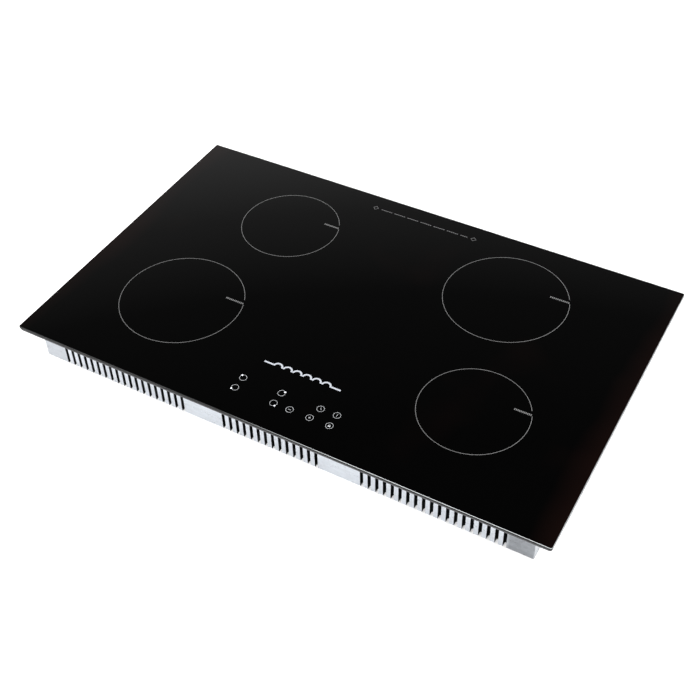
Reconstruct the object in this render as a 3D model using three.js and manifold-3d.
// Built-in electric induction cooktop with four zones: a ceramic glass top bonded to a steel
// frame, over a folded steel tray that holds the coils, power boards, fans and touch controls.
// Millimetres, +Z up, origin at the centre of the tray's underside, front edge towards -Y.
import * as THREE from 'three';
import { mergeVertices } from 'three/addons/utils/BufferGeometryUtils.js';
import Module from 'manifold-3d';

const wasm = await Module();
wasm.setup();

// Overall sizes
const HEIGHT = 60;
const GAP = 0.3;
const GLASS = { width: 800, depth: 500, thick: 4, corner: 3, arris: 0.6 };
const TRAY = { width: 750, depth: 464, top: 55.4, sheet: 1 };
const UNDER_GLASS = HEIGHT - GLASS.thick - GAP;

// Vent slots: three banks along the front, two along the back, all running in under the floor
const SLOT = { width: 4.8, pitch: 11, top: 46, under: 8, shoulder: 1.2 };
const SIDE_BANK = { centre: 237.5, count: 19 };
const MIDDLE_BANK = { centre: 0, count: 14 };
const BACK_BANK = { centre: 150, count: 13 };

// Cooking zones: centre of each ring and its diameter
const ZONES = {
  back_left: { x: -179, y: 122.5, diameter: 150 },
  back_right: { x: 179, y: 122.5, diameter: 180 },
  front_left: { x: -229, y: -95, diameter: 180 },
  front_right: { x: 229, y: -95, diameter: 150 },
};

// Heights of the coil stack, each layer from its underside to its top
const MICA = { low: 54.7, high: 55.7 };
const WINDING = { low: 50.4, high: 54.4, inner: 22, inset: 5 };
const CARRIER = { low: 46.3, high: 50.1, inset: 1, rim: 12, hub: 12, rib: 0.22 };
const FERRITE = { low: 42, high: 46, bars: 6, width: 12, inset: 8, ring: 6 };
const SENSOR = { low: 42.3, high: 54.4, radius: 7, collar: 10, foot: 3 };
const COIL_PLATE = { low: 40.2, high: 41.7, inner: 95, outer: 325, front: -190, back: 200 };
const LEG = { at: [-150, 150], width: 20, foot: 11, gap: 5 };

// Electronics on the tray floor
const FLOOR = TRAY.sheet + GAP;
const SIDES = { left: -215, right: 215 };
const BOARD = { size: 200, y: -105, low: 7.3, thick: 1.6 };
const BOARD_TRAY = { margin: 3, thick: 2.2, post: 5, inset: 8 };
const HEATSINK = { width: 60, length: 150, y: -110, height: 28, fins: 8, base: 4, fin: 2 };
const POWER_CHOKE = { outer: 20, inner: 8, height: 18, x: -62, y: 60 };
const CAPACITOR = { width: 26, depth: 44, height: 26, corner: 2, x: 60, y: 55 };
const FAN = { y: 70, size: 92, thick: 25, bore: 43, corner: 5, web: 3, arm: 5, arms: 3 };
const ROTOR = { hub: 19, tip: 41, blades: 7, chord: 20, camber: 3, wall: 1.4, pitch: 0.72 };

// Frame and seals
const FRAME = { flange: 14, sheet: 1, top: 54.4, corner: 3, strip: 8, length: 300 };
const SEAL = { inset: 1, width: 10, thick: 2.8 };
const BOND = { width: 8, low: 54.7, inset: 2, corner: 4 };

// Touch controls: the housing, and where each key's pad stands
const TOUCH = { x: 6, y: -193, width: 190, depth: 46, low: 43, wall: 2, pad: 5 };
const KEYS = {
  zones: [[-66, -186], [-66, -206], [-6, -186], [-6, -206]],
  panel: [[18.5, -206], [48.5, -206], [53.5, -186], [78, -186], [78, -206]],
};

// Mains side: filter board, terminals under their cover, and the cable entry
const FILTER = { x: 0, y: 120, width: 130, depth: 90, post: 5, inset: 8 };
const FILTER_CHOKE = { outer: 24, inner: 10, height: 22 };
const TERMINAL = { width: 56, depth: 26, height: 20, y: 188, ways: 5, pitch: 10, way: 7 };
const COVER = { width: 84, front: 164, back: 218, height: 34, wall: 2 };
const GLAND = { x: 300, z: 20, bore: 7, thread: 10, flange: 14, inside: 11, outside: 14 };
const GLAND_NUT = { across: 15, thick: 5 };

// Frame screws, a pair through each end of the tray
const SCREW = { y: 110, z: 50.4, shank: 1.7, hole: 2.1, head: 3.6, dome: 2.2, length: 6 };

const group = new THREE.Group();

// Solids and booleans

function toSolid(geometry) {
  const bare = geometry.clone();
  bare.deleteAttribute('normal');
  bare.deleteAttribute('uv');
  const merged = mergeVertices(bare, 1e-4);
  const triVerts = new Uint32Array(merged.index.array);
  const vertProperties = new Float32Array(merged.attributes.position.array);
  return new wasm.Manifold(new wasm.Mesh({ numProp: 3, vertProperties, triVerts }));
}

function toGeometry(solid) {
  const mesh = solid.getMesh();
  const geometry = new THREE.BufferGeometry();
  geometry.setAttribute('position', new THREE.BufferAttribute(mesh.vertProperties, 3));
  geometry.setIndex(new THREE.BufferAttribute(mesh.triVerts, 1));
  geometry.computeVertexNormals();
  return geometry;
}

function join(geometries) {
  return geometries.map(toSolid).reduce((whole, solid) => whole.add(solid));
}

function cut(body, tools) {
  return toGeometry(join([body]).subtract(join(tools)));
}

// A block given by the centre of its underside
function block(width, depth, height, x = 0, y = 0, z = 0) {
  return new THREE.BoxGeometry(width, depth, height).translate(x, y, z + height / 2);
}

// A flat outline raised from z = low to z = high
function raise(shape, low, high, curveSegments = 6) {
  const settings = { depth: high - low, bevelEnabled: false, curveSegments };
  return new THREE.ExtrudeGeometry(shape, settings).translate(0, 0, low);
}

// An upright cylinder from z = low to z = high
function drum(radius, low, high, x = 0, y = 0, sides = 24) {
  const geometry = new THREE.CylinderGeometry(radius, radius, high - low, sides);
  return geometry.rotateX(Math.PI / 2).translate(x, y, (low + high) / 2);
}

// A profile of [radius, height] points turned about the upright axis
function turn(points, sides) {
  const closed = points.map(([radius, height]) => new THREE.Vector2(radius, height));
  return new THREE.LatheGeometry(closed, sides).rotateX(Math.PI / 2);
}

function roundedRectangle(width, depth, radius) {
  const shape = new THREE.Shape();
  const x = width / 2 - radius;
  const y = depth / 2 - radius;
  shape.absarc(x, y, radius, 0, Math.PI / 2);
  shape.absarc(-x, y, radius, Math.PI / 2, Math.PI);
  shape.absarc(-x, -y, radius, Math.PI, Math.PI * 1.5);
  shape.absarc(x, -y, radius, Math.PI * 1.5, Math.PI * 2);
  shape.closePath();
  return shape;
}

function roundedRing(width, depth, radius, band) {
  const shape = roundedRectangle(width, depth, radius);
  const inner = Math.max(radius - band, 1);
  shape.holes.push(roundedRectangle(width - 2 * band, depth - 2 * band, inner));
  return shape;
}

function place(name, geometry, colour, roughness, metalness, position = [0, 0, 0]) {
  const material = new THREE.MeshStandardMaterial({ color: colour, roughness, metalness });
  const mesh = new THREE.Mesh(geometry, material);
  mesh.name = name;
  mesh.position.set(...position);
  group.add(mesh);
  return mesh;
}

// Glass, seal and frame

// A 4 mm plate with a small ground arris along its top and bottom edges
function glassPlate() {
  const { width, depth, thick, corner, arris } = GLASS;
  const outline = roundedRectangle(width - 2 * arris, depth - 2 * arris, corner - arris);
  const settings = {
    depth: thick - 2 * arris,
    bevelEnabled: true,
    bevelThickness: arris,
    bevelSize: arris,
    bevelSegments: 1,
    curveSegments: 3,
  };
  return new THREE.ExtrudeGeometry(outline, settings).translate(0, 0, HEIGHT - thick + arris);
}

function edgeSeal() {
  const { inset, width, thick } = SEAL;
  const ring = roundedRing(GLASS.width - 2 * inset, GLASS.depth - 2 * inset, GLASS.corner, width);
  return raise(ring, UNDER_GLASS - thick, UNDER_GLASS, 2);
}

function bondBead() {
  const inside = 2 * (TRAY.sheet + GAP + FRAME.sheet + BOND.inset);
  const ring = roundedRing(TRAY.width - inside, TRAY.depth - inside, BOND.corner, BOND.width);
  return raise(ring, BOND.low, UNDER_GLASS, 1);
}

// Flat steel ring inside the tray walls, which the glass is bonded to
function topFrame() {
  const room = 2 * (TRAY.sheet + GAP);
  const ring = roundedRing(TRAY.width - room, TRAY.depth - room, FRAME.corner, FRAME.flange);
  return raise(ring, FRAME.top - FRAME.sheet, FRAME.top, 1);
}

// Upright strip welded under one end of the ring, which the frame screws go into
function frameStrip(side) {
  const { sheet, strip, length, top } = FRAME;
  const x = side * (TRAY.width / 2 - TRAY.sheet - GAP - sheet / 2);
  return cut(block(sheet, length, strip, x, 0, top - sheet - GAP - strip), screwHoles());
}

// Frame screws

function screwSpots() {
  const x = TRAY.width / 2;
  return [
    { name: 'frame_screw_left_1', x: -x, y: -SCREW.y, angle: Math.PI },
    { name: 'frame_screw_left_2', x: -x, y: SCREW.y, angle: Math.PI },
    { name: 'frame_screw_right_1', x, y: -SCREW.y, angle: 0 },
    { name: 'frame_screw_right_2', x, y: SCREW.y, angle: 0 },
  ];
}

function screwHoles() {
  return screwSpots().map(({ x, y }) => {
    const bore = new THREE.CylinderGeometry(SCREW.hole, SCREW.hole, 8, 8);
    return bore.rotateZ(Math.PI / 2).translate(x, y, SCREW.z);
  });
}

// A pan-head screw lying along +X, its head outside the wall at x = 0
function screw() {
  const { shank, head, dome, length } = SCREW;
  const profile = [
    [0, -length],
    [shank * 0.5, -length],
    [shank, -length + 1.5],
    [shank, GAP],
    [head, GAP],
    [head, dome * 0.55],
    [head * 0.7, dome],
    [0, dome],
  ];
  const points = profile.map(([radius, height]) => new THREE.Vector2(radius, height));
  return new THREE.LatheGeometry(points, 8).rotateZ(-Math.PI / 2);
}

function addScrews() {
  for (const { name, x, y, angle } of screwSpots()) {
    place(name, screw(), 0xb9bcc0, 0.35, 0.9, [x, y, SCREW.z]).rotation.z = angle;
  }
}

// Tray

function bankPlaces({ centre, count }) {
  const first = centre - (count - 1) * SLOT.pitch / 2;
  return Array.from({ length: count }, (_, step) => first + step * SLOT.pitch);
}

// One upright slot through the front wall that carries on under the floor's edge
function ventCutter(x) {
  const { width, top, under, shoulder } = SLOT;
  const shape = new THREE.Shape();
  shape.moveTo(-width / 2, -1);
  shape.lineTo(width / 2, -1);
  shape.lineTo(width / 2, top - shoulder);
  shape.lineTo(width / 2 - shoulder, top);
  shape.lineTo(shoulder - width / 2, top);
  shape.lineTo(-width / 2, top - shoulder);
  shape.closePath();
  const settings = { depth: under + 1, bevelEnabled: false };
  const bar = new THREE.ExtrudeGeometry(shape, settings).rotateX(Math.PI / 2);
  return bar.translate(x, -TRAY.depth / 2 + under, 0);
}

function frontVents() {
  const left = { ...SIDE_BANK, centre: -SIDE_BANK.centre };
  return [left, MIDDLE_BANK, SIDE_BANK].flatMap(bankPlaces).map((x) => ventCutter(x));
}

function backVents() {
  const left = { ...BACK_BANK, centre: -BACK_BANK.centre };
  return [left, BACK_BANK].flatMap(bankPlaces).map((x) => ventCutter(x).rotateZ(Math.PI));
}

// Parallel slots under each fan, their lengths following the fan's round bore
function grilleCutters(x) {
  const across = 3;
  const cutters = [];
  for (let step = -across; step <= across; step += 1) {
    const offset = step * SLOT.pitch;
    const reach = Math.sqrt(ROTOR.tip ** 2 - offset ** 2) - SLOT.width / 2;
    const shape = new THREE.Shape();
    shape.absarc(0, reach, SLOT.width / 2, 0, Math.PI);
    shape.absarc(0, -reach, SLOT.width / 2, Math.PI, Math.PI * 2);
    shape.closePath();
    cutters.push(raise(shape, -1, TRAY.sheet + 1, 2).translate(x + offset, FAN.y, 0));
  }
  return cutters;
}

// Floor and front wall, folded from one sheet
function baseTray() {
  const { width, depth, top, sheet } = TRAY;
  const floor = block(width, depth, sheet);
  const front = block(width, sheet, top, 0, (sheet - depth) / 2);
  const grilles = Object.values(SIDES).flatMap(grilleCutters);
  const holes = join([...frontVents(), ...backVents(), ...grilles]);
  return toGeometry(join([floor, front]).subtract(holes));
}

// Upright panel along the back, between the two ends
function trayBack() {
  const { width, depth, top, sheet } = TRAY;
  const across = width - 2 * (sheet + GAP);
  const panel = block(across, sheet, top - FLOOR, 0, (depth - sheet) / 2, FLOOR);
  const entry = new THREE.CylinderGeometry(GLAND.thread + GAP, GLAND.thread + GAP, 8, 20);
  return cut(panel, [entry.translate(GLAND.x, depth / 2, GLAND.z), ...backVents()]);
}

// Upright panel at one end, behind the front wall
function trayEnd(side) {
  const { width, depth, top, sheet } = TRAY;
  const x = side * (width - sheet) / 2;
  const panel = block(sheet, depth - FLOOR, top - FLOOR, x, FLOOR / 2, FLOOR);
  return cut(panel, screwHoles());
}

// Coil plates and coils

// Aluminium sheet across one side of the tray, standing on four legs bent down from its
// edges, with their feet turned in under it
function coilPlate(side) {
  const { low, high, inner, outer, front, back } = COIL_PLATE;
  const depth = back - front;
  const sheet = high - low;
  const middle = side * (inner + outer) / 2;
  const solids = [block(outer - inner, depth, sheet, middle, (front + back) / 2, low)];
  for (const y of LEG.at) {
    for (const [edge, out] of [[inner, -1], [outer, 1]]) {
      const tab = side * (edge + out * LEG.gap / 2);
      const leg = side * (edge + out * (LEG.gap + sheet / 2));
      const foot = side * (edge + out * (LEG.gap + sheet - LEG.foot / 2));
      solids.push(block(LEG.gap + 1, LEG.width, sheet, tab, y, low));
      solids.push(block(sheet, LEG.width, high - FLOOR, leg, y, FLOOR));
      solids.push(block(LEG.foot, LEG.width, sheet, foot, y, FLOOR));
    }
  }
  const holes = Object.values(ZONES)
    .filter(({ x }) => Math.sign(x) === side)
    .map(({ x, y }) => drum(WINDING.inner, low - 1, high + 1, x, y, 16));
  return toGeometry(join(solids).subtract(join(holes)));
}

function winding(diameter) {
  const outer = diameter / 2 - WINDING.inset;
  const { low, high, inner } = WINDING;
  return turn([[inner, low], [outer, low], [outer, high], [inner, high], [inner, low]], 28);
}

// Moulded disc with four open windows and a hub
function coilCarrier(diameter) {
  const { low, high, inset, rim, hub, rib } = CARRIER;
  const outer = diameter / 2 - inset;
  const shape = new THREE.Shape();
  for (let quarter = 0; quarter < 4; quarter += 1) {
    const start = quarter * Math.PI / 2 + rib;
    const end = (quarter + 1) * Math.PI / 2 - rib;
    shape.absarc(0, 0, outer, start - rib, end + rib);
    const window = new THREE.Path();
    window.absarc(0, 0, outer - rim, start, end);
    window.absarc(0, 0, WINDING.inner + 6, end, start, true);
    window.closePath();
    shape.holes.push(window);
  }
  const hole = new THREE.Path();
  hole.absarc(0, 0, hub, 0, Math.PI);
  hole.absarc(0, 0, hub, Math.PI, Math.PI * 2);
  shape.holes.push(hole);
  return raise(shape, low, high, 3);
}

// Ferrite bars laid out like spokes and held by one ring
function ferriteStar(diameter) {
  const { low, high, bars, width, inset, ring } = FERRITE;
  const outer = diameter / 2 - inset;
  const inner = WINDING.inner + 4;
  const start = inner + ring / 2;
  const shape = new THREE.Shape();
  shape.absarc(0, 0, inner + ring, 0, Math.PI * 2);
  const hole = new THREE.Path();
  hole.absarc(0, 0, inner, 0, Math.PI * 2);
  shape.holes.push(hole);
  const solids = [raise(shape, low, high, 7)];
  for (let bar = 0; bar < bars; bar += 1) {
    const spoke = block(outer - start, width, high - low, (outer + start) / 2, 0, low);
    solids.push(spoke.rotateZ(bar * Math.PI * 2 / bars));
  }
  return toGeometry(join(solids));
}

// Sprung probe that touches the underside of the mica
function panSensor() {
  const { low, high, radius, collar, foot } = SENSOR;
  const profile = [[0, low], [collar, low], [collar, low + foot], [radius, low + foot]];
  return turn([...profile, [radius, high - 1], [radius - 1, high], [0, high]], 10);
}

function addCoils() {
  for (const [zone, { x, y, diameter }] of Object.entries(ZONES)) {
    const spot = [x, y, 0];
    const mica = drum(diameter / 2 - 2, MICA.low, MICA.high, 0, 0, 24);
    place(`mica_sheet_${zone}`, mica, 0xcfc6ae, 0.7, 0, spot);
    place(`coil_winding_${zone}`, winding(diameter), 0xb06a3a, 0.4, 0.8, spot);
    place(`coil_carrier_${zone}`, coilCarrier(diameter), 0x2b2b2d, 0.6, 0, spot);
    place(`ferrite_star_${zone}`, ferriteStar(diameter), 0x3a3a3e, 0.7, 0.1, spot);
    place(`pan_sensor_${zone}`, panSensor(), 0xe6e4de, 0.5, 0, spot);
  }
}

// Power boards and fans

// Insulating moulding that holds the board clear of the tray floor
function boardCarrier() {
  const { size, low } = BOARD;
  const { margin, thick, post, inset } = BOARD_TRAY;
  const across = size + 2 * margin;
  const at = size / 2 - inset;
  const solids = [block(across, across, thick, 0, 0, FLOOR)];
  for (const x of [-1, 1]) {
    for (const y of [-1, 1]) {
      solids.push(drum(post, FLOOR + 1, low - GAP, x * at, y * at, 8));
    }
  }
  return toGeometry(join(solids));
}

function heatsink() {
  const { width, length, height, fins, base, fin } = HEATSINK;
  const shape = new THREE.Shape();
  const space = (width - fin) / (fins - 1);
  shape.moveTo(width / 2, 0);
  for (let step = fins - 1; step >= 0; step -= 1) {
    const left = -width / 2 + step * space;
    shape.lineTo(left + fin, step === fins - 1 ? height : base);
    shape.lineTo(left + fin, height);
    shape.lineTo(left, height);
    shape.lineTo(left, step === 0 ? 0 : base);
  }
  shape.closePath();
  const settings = { depth: length, bevelEnabled: false };
  const bar = new THREE.ExtrudeGeometry(shape, settings).rotateX(Math.PI / 2);
  return bar.translate(0, length / 2, 0);
}

// Wound ring choke lying flat on its board
function choke({ outer, inner, height }) {
  const edge = 3;
  return turn([
    [inner, edge],
    [inner + edge, 0],
    [outer - edge, 0],
    [outer, edge],
    [outer, height - edge],
    [outer - edge, height],
    [inner + edge, height],
    [inner, height - edge],
    [inner, edge],
  ], 14);
}

function fanFrame() {
  const { size, thick, bore, corner, web, arm, arms } = FAN;
  const shell = join([raise(roundedRectangle(size, size, corner), FLOOR, FLOOR + thick, 2)]);
  const opening = join([drum(bore, 0, HEIGHT, 0, 0, 28)]);
  const struts = [drum(ROTOR.hub, FLOOR, FLOOR + web, 0, 0, 16)];
  for (let step = 0; step < arms; step += 1) {
    const strut = block(bore + 1, arm, web, (bore + 1) / 2, 0, FLOOR);
    struts.push(strut.rotateZ(Math.PI / 4 + step * Math.PI * 2 / arms));
  }
  return toGeometry(shell.subtract(opening).add(join(struts)));
}

// Hub cup with cambered, pitched blades
function fanRotor() {
  const { hub, tip, blades, chord, camber, wall, pitch } = ROTOR;
  const low = FLOOR + FAN.web + GAP;
  const high = FLOOR + FAN.thick - 1;
  const root = hub - 3;
  const cup = turn([[0, low], [hub, low], [hub, high - 2], [hub - 2, high], [0, high]], 16);
  const section = new THREE.Shape();
  section.moveTo(-chord / 2, 0);
  section.quadraticCurveTo(0, -2 * camber, chord / 2, 0);
  section.quadraticCurveTo(0, 2 * wall - 2 * camber, -chord / 2, 0);
  section.closePath();
  const solids = [cup];
  for (let blade = 0; blade < blades; blade += 1) {
    const settings = { depth: tip - root, bevelEnabled: false, curveSegments: 3 };
    const vane = new THREE.ExtrudeGeometry(section, settings);
    vane.rotateZ(pitch).rotateY(Math.PI / 2).rotateX(Math.PI / 2);
    vane.translate(root, 0, (low + high) / 2);
    solids.push(vane.rotateZ(blade * Math.PI * 2 / blades));
  }
  return toGeometry(join(solids));
}

function addPowerSide(side, x) {
  const { y, low, thick, size } = BOARD;
  const { width, depth, height, corner } = CAPACITOR;
  const deck = low + thick + GAP;
  const board = block(size, size, thick, 0, 0, low);
  const chokeSpot = [x + POWER_CHOKE.x, y + POWER_CHOKE.y, deck];
  const capacitor = raise(roundedRectangle(width, depth, corner), 0, height, 2);
  const capacitorSpot = [x + CAPACITOR.x, y + CAPACITOR.y, deck];
  place(`board_carrier_${side}`, boardCarrier(), 0x1f2022, 0.7, 0, [x, y, 0]);
  place(`power_board_${side}`, board, 0x2f6b43, 0.55, 0.05, [x, y, 0]);
  place(`heatsink_${side}`, heatsink(), 0xb7bbc0, 0.4, 0.9, [x, HEATSINK.y, deck]);
  place(`power_choke_${side}`, choke(POWER_CHOKE), 0xa8622f, 0.45, 0.6, chokeSpot);
  place(`film_capacitor_${side}`, capacitor, 0x2c4f8c, 0.5, 0, capacitorSpot);
  place(`fan_frame_${side}`, fanFrame(), 0x17181a, 0.6, 0, [x, FAN.y, 0]);
  place(`fan_rotor_${side}`, fanRotor(), 0x222326, 0.55, 0, [x, FAN.y, 0]);
}

// Touch controls

// Open-topped moulding held up against the glass
function touchHousing() {
  const { width, depth, low, wall } = TOUCH;
  const outside = block(width, depth, UNDER_GLASS - low, 0, 0, low);
  const inside = block(width - 2 * wall, depth - 2 * wall, HEIGHT, 0, 0, low + wall);
  return cut(outside, [inside]);
}

// Control board with one sprung pad for each key, touching the underside of the glass
function touchBoard() {
  const { x, y, width, depth, wall, low, pad } = TOUCH;
  const rest = low + wall + GAP;
  const room = 2 * (wall + GAP);
  const solids = [block(width - room, depth - room, BOARD.thick, 0, 0, rest)];
  for (const [keyX, keyY] of [...KEYS.zones, ...KEYS.panel]) {
    solids.push(drum(pad, rest + 1, UNDER_GLASS, keyX - x, keyY - y, 8));
  }
  return toGeometry(join(solids));
}

// Mains side: filter, terminals and cable entry

function filterBoard() {
  const { width, depth, post, inset } = FILTER;
  const { low, thick } = BOARD;
  const solids = [block(width, depth, thick, 0, 0, low)];
  for (const x of [-1, 1]) {
    for (const y of [-1, 1]) {
      const spotX = x * (width / 2 - inset);
      const spotY = y * (depth / 2 - inset);
      solids.push(drum(post, FLOOR, low + 1, spotX, spotY, 8));
    }
  }
  return toGeometry(join(solids));
}

// Terminal block with a row of open wire chambers facing the cable entry
function terminalBlock() {
  const { width, depth, height, ways, pitch, way } = TERMINAL;
  const chambers = [];
  for (let step = 0; step < ways; step += 1) {
    const x = (step - (ways - 1) / 2) * pitch;
    chambers.push(block(way, depth / 2, way + 1, x, depth / 2, 6));
  }
  return cut(block(width, depth, height), chambers);
}

// Box over the terminals, open below and towards the cable entry
function terminalCover() {
  const { width, front, back, height, wall } = COVER;
  const depth = back - front;
  const outside = block(width, depth, height - FLOOR, 0, (front + back) / 2, FLOOR);
  const inside = block(width - 2 * wall, depth, height, 0, (front + back) / 2 + wall, -wall);
  return cut(outside, [inside]);
}

// Screw-in cable gland: flange and tapered throat outside the back wall, thread inside
function cableGland() {
  const { bore, thread, flange, inside, outside } = GLAND;
  const points = [
    [bore, -inside],
    [thread, -inside],
    [thread, GAP],
    [flange, GAP],
    [flange, 5],
    [thread + 1, 6],
    [bore + 2, outside],
    [bore, outside],
    [bore, -inside],
  ];
  const profile = points.map(([radius, height]) => new THREE.Vector2(radius, height));
  return new THREE.LatheGeometry(profile, 16);
}

function glandNut() {
  const { across, thick } = GLAND_NUT;
  const shape = new THREE.Shape();
  for (let corner = 0; corner < 6; corner += 1) {
    const angle = corner * Math.PI / 3;
    const point = [across * Math.cos(angle), across * Math.sin(angle)];
    shape[corner ? 'lineTo' : 'moveTo'](...point);
  }
  shape.closePath();
  const hole = new THREE.Path();
  hole.absarc(0, 0, GLAND.thread + GAP, 0, Math.PI * 2);
  shape.holes.push(hole);
  return raise(shape, 0, thick, 8).rotateX(Math.PI / 2);
}

function addMainsSide() {
  const deck = BOARD.low + BOARD.thick + GAP;
  const { x, z } = GLAND;
  const wall = TRAY.depth / 2;
  place('filter_board', filterBoard(), 0x2f6b43, 0.55, 0.05, [FILTER.x, FILTER.y, 0]);
  place('filter_choke', choke(FILTER_CHOKE), 0xa8622f, 0.45, 0.6, [FILTER.x, FILTER.y, deck]);
  place('terminal_block', terminalBlock(), 0xe8e6e0, 0.5, 0, [x, TERMINAL.y, FLOOR]);
  place('terminal_cover', terminalCover(), 0x1d1e20, 0.6, 0, [x, 0, 0]);
  place('cable_gland', cableGland(), 0x151517, 0.55, 0, [x, wall, z]);
  place('gland_nut', glandNut(), 0x151517, 0.55, 0, [x, wall - TRAY.sheet - GAP, z]);
}

place('glass_top', glassPlate(), 0x060606, 0.06, 0);
place('edge_seal', edgeSeal(), 0x101011, 0.9, 0);
place('bond_bead', bondBead(), 0x1a1a1b, 0.7, 0);
place('top_frame', topFrame(), 0xc9ccd0, 0.35, 0.9);
place('frame_strip_left', frameStrip(-1), 0xc9ccd0, 0.35, 0.9);
place('frame_strip_right', frameStrip(1), 0xc9ccd0, 0.35, 0.9);
place('base_tray', baseTray(), 0xd9dbdf, 0.35, 0.85);
place('tray_back', trayBack(), 0xd9dbdf, 0.35, 0.85);
place('tray_end_left', trayEnd(-1), 0xd9dbdf, 0.35, 0.85);
place('tray_end_right', trayEnd(1), 0xd9dbdf, 0.35, 0.85);
addScrews();
place('coil_plate_left', coilPlate(-1), 0xc4c7cb, 0.4, 0.9);
place('coil_plate_right', coilPlate(1), 0xc4c7cb, 0.4, 0.9);
addCoils();
Object.entries(SIDES).forEach(([side, x]) => addPowerSide(side, x));
place('touch_housing', touchHousing(), 0x1c1d1f, 0.6, 0, [TOUCH.x, TOUCH.y, 0]);
place('touch_board', touchBoard(), 0x1f5236, 0.55, 0.05, [TOUCH.x, TOUCH.y, 0]);
addMainsSide();

export default group;
